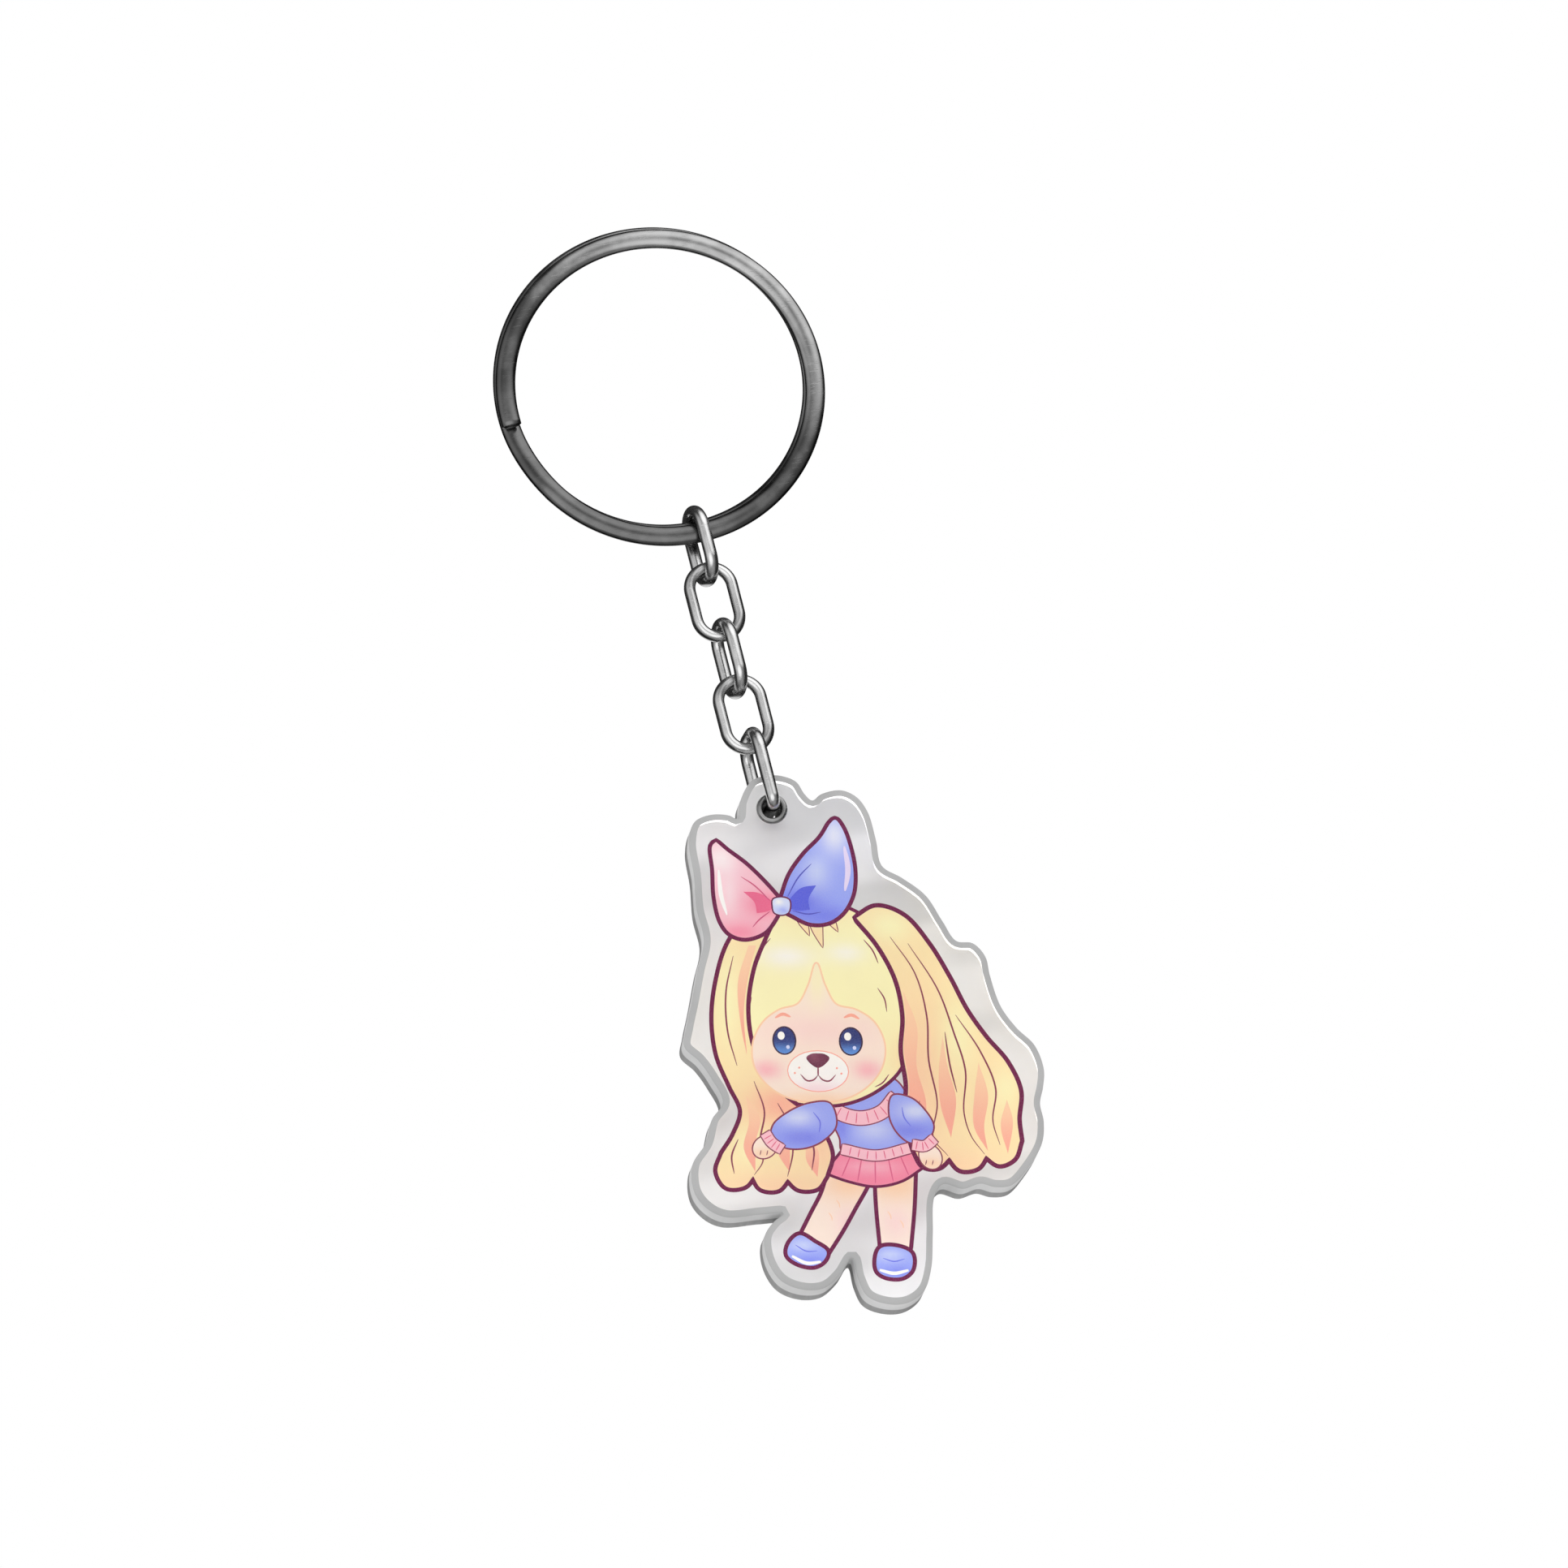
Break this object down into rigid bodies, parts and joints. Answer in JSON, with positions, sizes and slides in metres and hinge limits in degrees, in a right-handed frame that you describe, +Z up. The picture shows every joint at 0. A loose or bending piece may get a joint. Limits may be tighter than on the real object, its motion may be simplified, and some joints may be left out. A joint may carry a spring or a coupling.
{
  "type": "keychain",
  "caption": "Split-ring keychain: a short cable chain carries a clear acrylic charm with a figure-shaped outline and a printed inner film.",
  "frame": {"origin": "where a hook or peg holds it: the top of the split ring's inner edge, hanging at rest", "axes": "+Z up along the chain towards the ring; -Y is the way the charm's printed face looks; +X to the right seen from the front"},
  "size_m": [0.0335, 0.0068, 0.1036],
  "materials": {
    "gunmetal": "dark plated, satin gloss",
    "link_metal": "plated, glossy",
    "clear_acrylic": "polished clear",
    "printed_film": "printed in colour on a pale grey ground"
  },
  "bodies": {
    "ring": {"split_ring": "gunmetal"},
    "link_1": {"chain_link_1": "link_metal"},
    "link_2": {"chain_link_2": "link_metal"},
    "link_3": {"chain_link_3": "link_metal"},
    "link_4": {"chain_link_4": "link_metal"},
    "shackle": {"charm_shackle": "link_metal"},
    "charm": {"front_acrylic": "clear_acrylic", "print_film": "printed_film", "back_acrylic": "clear_acrylic", "eyelet": "link_metal"}
  },
  "joints": [
    {"name": "link_1_on_ring", "type": "hinge", "parent": "ring", "child": "link_1", "pos_m": [0, 0, -0.027], "axis": [1, 0, 0], "range_deg": [-75, 75]},
    {"name": "link_2_on_link_1", "type": "hinge", "parent": "link_1", "child": "link_2", "pos_m": [0, 0, -0.03168], "axis": [0, 1, 0], "range_deg": [-40, 40]},
    {"name": "link_3_on_link_2", "type": "hinge", "parent": "link_2", "child": "link_3", "pos_m": [0, 0, -0.03707], "axis": [1, 0, 0], "range_deg": [-40, 40]},
    {"name": "link_4_on_link_3", "type": "hinge", "parent": "link_3", "child": "link_4", "pos_m": [0, 0, -0.04247], "axis": [0, 1, 0], "range_deg": [-40, 40]},
    {"name": "shackle_on_link_4", "type": "hinge", "parent": "link_4", "child": "shackle", "pos_m": [0, 0, -0.04788], "axis": [1, 0, 0], "range_deg": [-40, 40]},
    {"name": "charm_on_shackle", "type": "hinge", "parent": "shackle", "child": "charm", "pos_m": [0, 0, -0.05423], "axis": [0, 1, 0], "range_deg": [-50, 50]}
  ]
}
